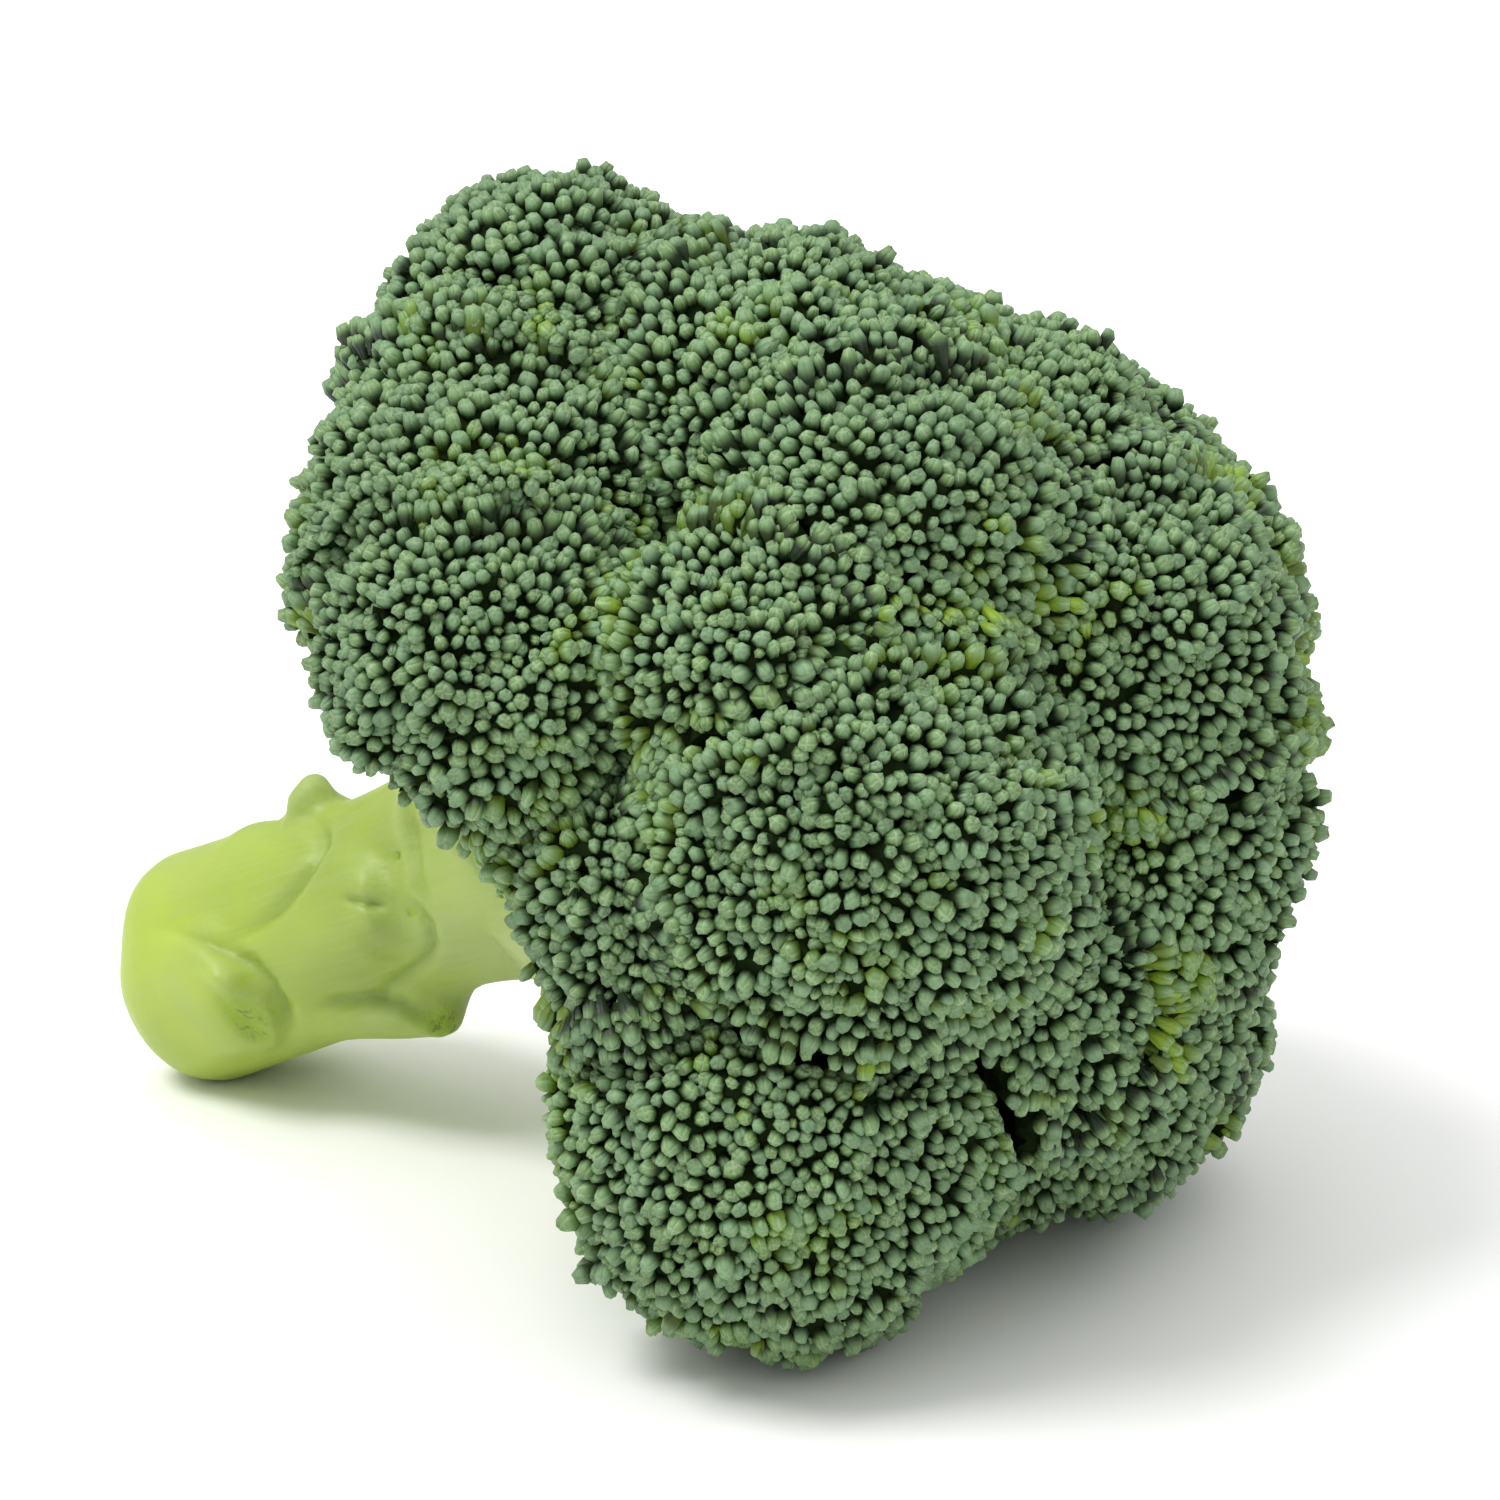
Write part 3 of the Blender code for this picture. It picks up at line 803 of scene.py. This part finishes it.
# The rings of a bud one wide: height, radius and bow. The blunt one's tip is sunk.
BUD_SIDES = 7
BUD_RINGS = ((-2.0, 0.45, 0.0), (-0.05, 1.0, 0.0), (0.98, 0.66, 0.0))
BUD_TIP = 1.2
BLUNT_RINGS = ((-2.0, 0.45, 0.0), (0.15, 1.0, 0.0), (1.08, 0.66, 0.0))
BLUNT_TIP = 0.72
SMALL_BUD_SIDES = 6
SMALL_BUD_RINGS = ((-2.6, 0.4, 0.0), (0.3, 0.95, 0.0))
SMALL_BUD_TIP = 1.05
RIM_BUD_SIDES = 6
RIM_BUD_STALK = ((-3.6, 0.22, 0.0), (-1.5, 0.34, 0.0))
RIM_BUD_RINGS = RIM_BUD_STALK + ((-0.5, 0.82, 0.0), (0.45, 0.95, 0.0), (1.2, 0.5, 0.0))
RIM_BUD_TIP = 1.45
BUD_WOBBLE = 0.2
DOME_BUD_KINDS, OTHER_BUD_KINDS = 4, 3
# The sizes that the scattering takes, under the names of its inputs.
COVER_SIZES = {
    "Bud pitch": 2.0 * MM,
    "Bud radius": 1.2 * MM,
    "Small bud pitch": 1.2 * MM,
    "Small bud room": 1.24 * MM,
    "Branchlet pitch": 6.5 * MM,
    "Branchlet radius": 1.9 * MM,
}
# Scattering: how many points are tried in a square of the least distance, how much closer than
# the pitch buds start, how often they are spread, and how much of the overlap a step takes away.
TRIES = 7.0
START_SHARE = 0.82
SPREADING_STEPS = 3
STEP_SHARE = 0.4
# A bud fills the room that its neighbours leave, within limits, and a small one most of its gap.
ROOM_LEAST, ROOM_MOST = 0.72, 1.2
GAP_FILLED = 0.6
# The least and most of what is drawn at random for each bud and stem.
LARGE_DRAW, SMALL_DRAW = (0.76, 1.14), (0.85, 1.1)
WIDE_DRAW, TALL_DRAW = (0.88, 1.12), (0.95, 1.3)
LIFT_DRAW, RIM_DRAW = (-0.4, 0.4), (0.15, 0.75)
STEM_DRAW = (0.75, 1.1)
# How far a bud's way strays, and a whole turn. In mm, how much lower a small bud sits, and how far
# inside the branch the stems start. Each floret draws with seeds of its own.
SWAY, FULL_TURN = 0.28, 6.283
SMALL_BUD_DROP, STEM_START = 0.35, 3.0
BUD_FLOOR = 0.2 * MM
FIRST_SEED, SEED_STEP = 7, 40

BLUE_GREEN = rgb(0.155, 0.280, 0.128)
MID_GREEN = rgb(0.165, 0.290, 0.078)
DARK_GREEN = rgb(0.055, 0.125, 0.034)
SHADE_GREEN = rgb(0.010, 0.026, 0.006)
STALKLET_GREEN = rgb(0.28, 0.43, 0.03)
TENDER_GREEN = rgb(0.19, 0.33, 0.040)
SEAM_GREEN = rgb(0.50, 0.62, 0.36)
BLOOM_GREEN = rgb(0.27, 0.40, 0.23)
REGION_SCALE, BLOOM_SCALE = 38.0, 1300.0
# How high on a bud its colour rises out of the painted shade below, its seams and its bloom come
# in, and how wide a seam is.
COLOUR_RUN, SEAM_RUN, BLOOM_RUN = (-0.4, 0.85), (0.1, 0.85), (0.35, 0.95)
SEAM_WIDTH = (0.02, 0.17)

tree, bud_skin, bud_inputs = new_material("bud skin")
spot = tree.spot()
across = tree.parts(tree.attribute("bud_spot", "Vector"))
aside, up = across.out("Y"), across.out("Z")
tint, tender, young = (tree.attribute(name) for name in ("tint", "tender", "young"))
regions = tree.noise(spot, REGION_SCALE, 2.0)
bloom = tree.noise(spot, BLOOM_SCALE, 2.0)
tip_colour = tree.mix(tint.rise(0.1, 0.9) * 0.7 + young * 0.4, BLUE_GREEN, MID_GREEN)
tip_colour = tree.mix((regions - 0.45).at_least(0.0) * 2.0, tip_colour, DARK_GREEN)
tip_colour = tree.mix(tender * tint * 0.9, tip_colour, TENDER_GREEN)
# Painted shade: the lower part of each bud is painted nearly black, and in tender buds stalklet
# green.
side_colour = tree.mix(tender * (0.35 + tint * 0.65), SHADE_GREEN, STALKLET_GREEN)
bud_colour = tree.mix(up.rise(*COLOUR_RUN), side_colour, tip_colour)
bent = (bloom - 0.5) * 0.5
seam = abs(across + bent).at_most(abs(aside - bent))
seam_line = (1.0 - seam.rise(*SEAM_WIDTH)) * up.rise(*SEAM_RUN) * (0.2 + bloom * 0.8)
bud_colour = tree.mix(seam_line * (0.1 + tint * 0.6), bud_colour, SEAM_GREEN)
bud_colour = tree.mix(bloom * up.rise(*BLOOM_RUN) * 0.55, bud_colour, BLOOM_GREEN)
tree.link(bud_colour, bud_inputs["Base Color"])
tree.link(0.42 + bloom * 0.22, bud_inputs["Roughness"])
bud_relief = seam.rise(0.0, 0.35) + bloom * 0.4
tree.link(tree.bump(bud_relief, 0.5, 0.25 * MM), bud_inputs["Normal"])


def bud_shapes(name, rings, sides, tip, kinds):
    """A few shapes of a sort of bud, each pressed out of round in its own way."""
    return [
        turned_shape(f"{name}_{kind}", rings, sides, tip, BUD_WOBBLE, kind)
        for kind in range(kinds)
    ]


# What the scattering picks its shapes from, under the names of its inputs.
SHAPE_SETS = {
    "Dome buds": shape_set(
        "dome buds",
        bud_skin,
        bud_shapes("blunt", BLUNT_RINGS, BUD_SIDES, BLUNT_TIP, DOME_BUD_KINDS)
        + bud_shapes("bud", BUD_RINGS, BUD_SIDES, BUD_TIP, DOME_BUD_KINDS),
    ),
    "Small buds": shape_set(
        "small buds",
        bud_skin,
        bud_shapes("small_bud", SMALL_BUD_RINGS, SMALL_BUD_SIDES, SMALL_BUD_TIP, OTHER_BUD_KINDS),
    ),
    "Rim buds": shape_set(
        "rim buds",
        bud_skin,
        bud_shapes("rim_bud", RIM_BUD_RINGS, RIM_BUD_SIDES, RIM_BUD_TIP, OTHER_BUD_KINDS),
    ),
    "Branchlets": branchlets,
}


def new_inputs(group, kind, names, values=None):
    """Inputs of one kind for a group of geometry nodes, with what they are to begin with."""
    for name in names:
        item = group.interface.new_socket(name, in_out="INPUT", socket_type=kind)
        if values is not None:
            item.default_value = values[name]


def floret_cover():
    """The geometry nodes that set branchlets under a core and buds over it."""
    group = bpy.data.node_groups.new("floret cover", "GeometryNodeTree")
    new_inputs(group, "NodeSocketGeometry", ("Core",))
    new_inputs(group, "NodeSocketFloat", COVER_SIZES, COVER_SIZES)
    new_inputs(group, "NodeSocketVector", ("Branch end",))
    new_inputs(group, "NodeSocketInt", ("Seed",), {"Seed": 0})
    new_inputs(group, "NodeSocketCollection", SHAPE_SETS)
    group.interface.new_socket("Floret", in_out="OUTPUT", socket_type="NodeSocketGeometry")
    tree = Tree(group)
    given = tree.node("NodeGroupInput")
    core = given.out("Core")
    seed = given.out("Seed")
    pitch = given.out("Bud pitch")
    here = tree.node("GeometryNodeInputPosition")

    def named(name, kind="FLOAT"):
        return tree.node(
            "GeometryNodeInputNamedAttribute", {"data_type": kind}, {"Name": name}, "Attribute"
        )

    def kept(geometry, name, value, kind="FLOAT"):
        """The geometry with a value kept for each of its points."""
        return tree.node(
            "GeometryNodeStoreNamedAttribute",
            {"data_type": kind, "domain": "POINT"},
            {"Geometry": geometry, "Name": name, "Value": value},
        )

    def moved(geometry, **place):
        """The geometry with its points at a Position, or moved by an Offset."""
        return tree.node("GeometryNodeSetPosition", None, {"Geometry": geometry, **place})

    def joined(*pieces):
        return tree.node("GeometryNodeJoinGeometry", None, {"Geometry": list(pieces)})

    def scatter(distance, share, seed):
        return tree.node(
            "GeometryNodeDistributePointsOnFaces",
            {"distribute_method": "POISSON"},
            {
                "Mesh": core,
                "Distance Min": distance,
                "Density Max": TRIES / (distance * distance),
                "Density Factor": share,
                "Seed": seed,
            },
            "Points",
        )

    def chance(low, high, seed, kind="FLOAT"):
        return tree.node(
            "FunctionNodeRandomValue",
            {"data_type": kind},
            {"Min": low, "Max": high, "Seed": seed},
            "Value",
        )

    def vector(operation, *values, output="Vector"):
        """Vector maths, its values in the order of the node's inputs."""
        return tree.node(
            "ShaderNodeVectorMath", {"operation": operation}, dict(enumerate(values)), output
        )

    def scaled(direction, length):
        return tree.node(
            "ShaderNodeVectorMath",
            {"operation": "SCALE"},
            {"Vector": direction, "Scale": length},
            "Vector",
        )

    def nearby(target, geometry, place, output):
        """What of a geometry is nearest to a place: its position or its distance."""
        return tree.node(
            "GeometryNodeProximity",
            {"target_element": target},
            {"Geometry": geometry, "Sample Position": place},
            output,
        )

    def size(x, y, z):
        return tree.node("ShaderNodeCombineXYZ", None, {"X": x, "Y": y, "Z": z})

    def logic(operation, first, second):
        return tree.node(
            "FunctionNodeBooleanMath", {"operation": operation}, {0: first, 1: second}
        )

    def above(value, limit):
        return tree.node(
            "FunctionNodeCompare",
            {"data_type": "FLOAT", "operation": "GREATER_THAN"},
            {"A": value, "B": limit},
        )

    def facing(direction, seed):
        """A rotation that stands a shape up along a direction, turned at random about it."""
        stood = tree.node(
            "FunctionNodeAlignRotationToVector", {"axis": "Z"}, {"Vector": direction}
        )
        turned = tree.node(
            "FunctionNodeAxisAngleToRotation",
            None,
            {"Axis": (0.0, 0.0, 1.0), "Angle": chance(0.0, FULL_TURN, seed)},
        )
        return tree.node(
            "FunctionNodeRotateRotation",
            {"rotation_space": "LOCAL"},
            {"Rotation": stood, "Rotate By": turned},
        )

    def planted(points, shapes, turn, size, chosen, seed):
        """Copies of a set's shapes, one picked for each point, as one mesh."""
        shapes = tree.node(
            "GeometryNodeCollectionInfo",
            None,
            {"Collection": shapes, "Separate Children": True, "Reset Children": True},
            "Instances",
        )
        copies = tree.node(
            "GeometryNodeInstanceOnPoints",
            None,
            {
                "Points": points,
                "Selection": chosen,
                "Instance": shapes,
                "Pick Instance": True,
                "Instance Index": chance(0, 100, seed, "INT"),
                "Rotation": turn,
                "Scale": size,
            },
        )
        return tree.node("GeometryNodeRealizeInstances", None, {"Geometry": copies})

    def painted(geometry, material):
        return tree.node(
            "GeometryNodeSetMaterial", None, {"Geometry": geometry, "Material": material}
        )

    # Large buds: scattered, then pushed apart step by step along the core's surface.
    buds = scatter(pitch * START_SHARE, named("bud_share"), seed)
    begin = tree.tree.nodes.new("GeometryNodeRepeatInput")
    end = tree.tree.nodes.new("GeometryNodeRepeatOutput")
    begin.pair_with_output(end)
    tree.link(SPREADING_STEPS, begin.inputs["Iterations"])
    tree.link(buds, begin.inputs["Geometry"])
    nearest = tree.node("GeometryNodeIndexOfNearest", None, {"Position": here}, "Index")
    there = tree.node(
        "GeometryNodeFieldAtIndex",
        {"data_type": "FLOAT_VECTOR", "domain": "POINT"},
        {"Index": nearest, "Value": here},
        "Value",
    )
    apart = vector("SUBTRACT", here, there)
    gap = vector("LENGTH", apart, output="Value")
    push = scaled(apart, ((pitch - gap) * STEP_SHARE / gap).at_least(0.0))
    back_on = nearby("FACES", core, vector("ADD", here, push), "Position")
    stepped = moved(Wire(tree, begin.outputs["Geometry"]), Position=back_on)
    tree.link(stepped, end.inputs["Geometry"])
    buds = Wire(tree, end.outputs["Geometry"])
    room = (gap / pitch).at_least(ROOM_LEAST).at_most(ROOM_MOST) * chance(*LARGE_DRAW, seed + 3)
    buds = kept(buds, "bud_radius", given.out("Bud radius") * room)
    buds = kept(buds, "young", 0.0)

    # Small buds: where a second, closer scattering finds room between the large ones.
    small = scatter(given.out("Small bud pitch"), named("bud_share"), seed + 11)
    small = kept(small, "space", nearby("POINTS", buds, here, "Distance"))
    small = tree.node(
        "GeometryNodeSeparateGeometry",
        {"domain": "POINT"},
        {"Geometry": small, "Selection": above(named("space"), given.out("Small bud room"))},
        "Selection",
    )
    filling = named("space") * GAP_FILLED * chance(*SMALL_DRAW, seed + 12)
    small = kept(small, "bud_radius", filling)
    small = kept(small, "young", 1.0)

    # Both sorts stand up along the way that their branchlet grows.
    points = kept(joined(buds, small), "tint", chance(0.0, 1.0, seed + 1))
    sway = chance((-SWAY,) * 3, (SWAY,) * 3, seed + 2, "FLOAT_VECTOR")
    growth = vector("NORMALIZE", vector("ADD", named("growth", "FLOAT_VECTOR"), sway))
    radius = named("bud_radius")
    young = named("young")
    lift = BUD_SEAT + radius * chance(*LIFT_DRAW, seed + 4) - young * SMALL_BUD_DROP * MM
    points = moved(points, Offset=scaled(growth, lift))
    turn = facing(growth, seed + 5)
    at_rim = above(named("rim"), chance(*RIM_DRAW, seed + 6))
    is_small = above(young, 0.5)
    bud_size = size(
        radius * chance(*WIDE_DRAW, seed + 7),
        radius * chance(*WIDE_DRAW, seed + 14),
        radius * chance(*TALL_DRAW, seed + 13),
    )
    is_large = logic("NOR", at_rim, is_small)
    is_at_rim = logic("NIMPLY", at_rim, is_small)
    grown = joined(
        planted(points, given.out("Dome buds"), turn, bud_size, is_large, seed + 15),
        planted(points, given.out("Small buds"), turn, bud_size, is_small, seed + 16),
        planted(points, given.out("Rim buds"), turn, bud_size, is_at_rim, seed + 17),
    )
    corner = tree.parts(here)
    on_surface = size(corner, corner.out("Y"), corner.out("Z").at_least(BUD_FLOOR))
    grown = moved(grown, Position=on_surface)

    # Branchlets: from the branch's end to points scattered over the underside near the rim.
    branch_end = given.out("Branch end")
    tips = scatter(given.out("Branchlet pitch"), named("under"), seed + 8)
    tips = kept(tips, "growth", vector("SUBTRACT", here, branch_end), "FLOAT_VECTOR")
    run = named("growth", "FLOAT_VECTOR")
    thick = given.out("Branchlet radius") * chance(*STEM_DRAW, seed + 9)
    stems = planted(
        moved(tips, Position=branch_end),
        given.out("Branchlets"),
        facing(run, seed + 10),
        size(thick, thick, vector("LENGTH", run, output="Value")),
        True,
        seed + 18,
    )

    whole = joined(
        painted(core, core_green), painted(grown, bud_skin), painted(stems, branchlet_flesh)
    )
    out = tree.tree.nodes.new("NodeGroupOutput")
    tree.link(whole, out.inputs[0])
    return group


cover = floret_cover()


def set_inputs(modifier, values):
    """A geometry modifier's inputs, each found by its name and set by its identifier."""
    for item in modifier.node_group.interface.items_tree:
        if item.item_type == "SOCKET" and item.in_out == "INPUT" and item.name in values:
            modifier[item.identifier] = values[item.name]


all_florets = [Floret(name, *place) for name, place in FLORETS.items()]

# Each floret's solid, from which its neighbours measure how far off it is.
solids = {}
for name in FLORETS:
    copy = merged_copy(name)
    copy.data.calc_loop_triangles()
    corners = [tuple(triangle.vertices) for triangle in copy.data.loop_triangles]
    solids[name] = BVHTree.FromPolygons([tuple(point) for point in points_of(copy.data)], corners)
    bpy.data.objects.remove(copy)

for number, floret in enumerate(all_florets):
    neighbours = [solids[other.name] for other in all_florets if other is not floret]
    core = make_core(floret, all_florets, neighbours)
    core.data.materials.append(core_green)
    modifier = core.modifiers.new("cover", "NODES")
    modifier.node_group = cover
    branch_end = tuple(floret.seat - floret.way * STEM_START * MM)
    seed = SEED_STEP * number + FIRST_SEED
    set_inputs(modifier, COVER_SIZES | SHAPE_SETS | {"Branch end": branch_end, "Seed": seed})
    mesh = taken_mesh(core)
    for name in ("growth", "bud_share", "space", "bud_radius"):
        if name in mesh.attributes:
            mesh.attributes.remove(mesh.attributes[name])
    piece = bpy.data.objects.new("buds_" + floret.name.removeprefix("floret_"), mesh)
    mesh.name = piece.name
    bpy.context.scene.collection.objects.link(piece)
    bpy.data.objects.remove(core)
    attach(piece, "root")
    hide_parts(floret.name)
for shapes in SHAPE_SETS.values():
    for shape in list(shapes.objects):
        bpy.data.objects.remove(shape)
    bpy.data.collections.remove(shapes)


# ---------------------------------------------------------------------------------------------
# The surface, the light and the camera: a plain white sheet under soft studio light that comes
# from above and from the left, seen from a little above, as in the photograph.

SHEET_HALF = 4.0
SHEET_WHITE, SHEET_GREY = rgb(0.95, 0.95, 0.94), rgb(0.92, 0.93, 0.92)
HORIZON_LIGHT, ZENITH_LIGHT = 0.2, 1.25
# The broad light: how far round and up it is, how wide it looks, and its strength.
KEY_AZIMUTH, KEY_ELEVATION = math.radians(-35.0), math.radians(60.0)
KEY_WIDTH = math.radians(25.0)
KEY_STRENGTH = 1.7
VIEW_AZIMUTH, VIEW_ELEVATION = math.radians(34.0), math.radians(18.0)
VIEW_DISTANCE = 0.605
VIEW_TARGET = Vector((0.0144, -0.0024, 0.0648))
SENSOR = 36.0
FOCAL_PIXELS, PHOTO_PIXELS = 4650.0, 1500.0

sheet_mesh = bpy.data.meshes.new("sheet")
square = ((-1, -1), (1, -1), (1, 1), (-1, 1))
sheet_corners = [(x * SHEET_HALF, y * SHEET_HALF, 0.0) for x, y in square]
sheet_mesh.from_pydata(sheet_corners, [], [(0, 1, 2, 3)])
sheet = bpy.data.objects.new("sheet", sheet_mesh)
bpy.context.scene.collection.objects.link(sheet)
tree, sheet_white, sheet_inputs = new_material("sheet white", Roughness=0.9)
sheet_colour = tree.mix(tree.noise(tree.spot(), 3.0) * 0.02, SHEET_WHITE, SHEET_GREY)
tree.link(sheet_colour, sheet_inputs["Base Color"])
sheet_mesh.materials.append(sheet_white)

world = bpy.data.worlds.new("studio")
bpy.context.scene.world = world
world.use_nodes = True
tree = Tree(world.node_tree)
background = world.node_tree.nodes["Background"]
background.inputs["Color"].default_value = rgb(1.0, 1.0, 1.0)
height = tree.parts(tree.node("ShaderNodeTexCoord", output="Generated"), "Z")
tree.link(HORIZON_LIGHT + height.at_least(0.0) * ZENITH_LIGHT, background.inputs["Strength"])


def view_direction(azimuth, elevation):
    """The way from the head to something seen at a turn from -Y towards +X and at a height."""
    flat = math.cos(elevation)
    return Vector((math.sin(azimuth) * flat, -math.cos(azimuth) * flat, math.sin(elevation)))


def turned_back(way):
    """The turn of a light or a camera that looks back along a way."""
    return way.to_track_quat("Z", "Y").to_euler()


key_data = bpy.data.lights.new("key", "SUN")
key_data.angle = KEY_WIDTH
key_data.energy = KEY_STRENGTH
key = bpy.data.objects.new("key", key_data)
key.rotation_euler = turned_back(view_direction(KEY_AZIMUTH, KEY_ELEVATION))
bpy.context.scene.collection.objects.link(key)

camera_data = bpy.data.cameras.new("camera")
camera_data.sensor_width = SENSOR
camera_data.lens = FOCAL_PIXELS / PHOTO_PIXELS * SENSOR
camera = bpy.data.objects.new("camera", camera_data)
back = view_direction(VIEW_AZIMUTH, VIEW_ELEVATION)
camera.location = VIEW_TARGET + back * VIEW_DISTANCE
camera.rotation_euler = turned_back(back)
bpy.context.scene.collection.objects.link(camera)
bpy.context.scene.camera = camera
bpy.context.scene.view_settings.view_transform = "Standard"
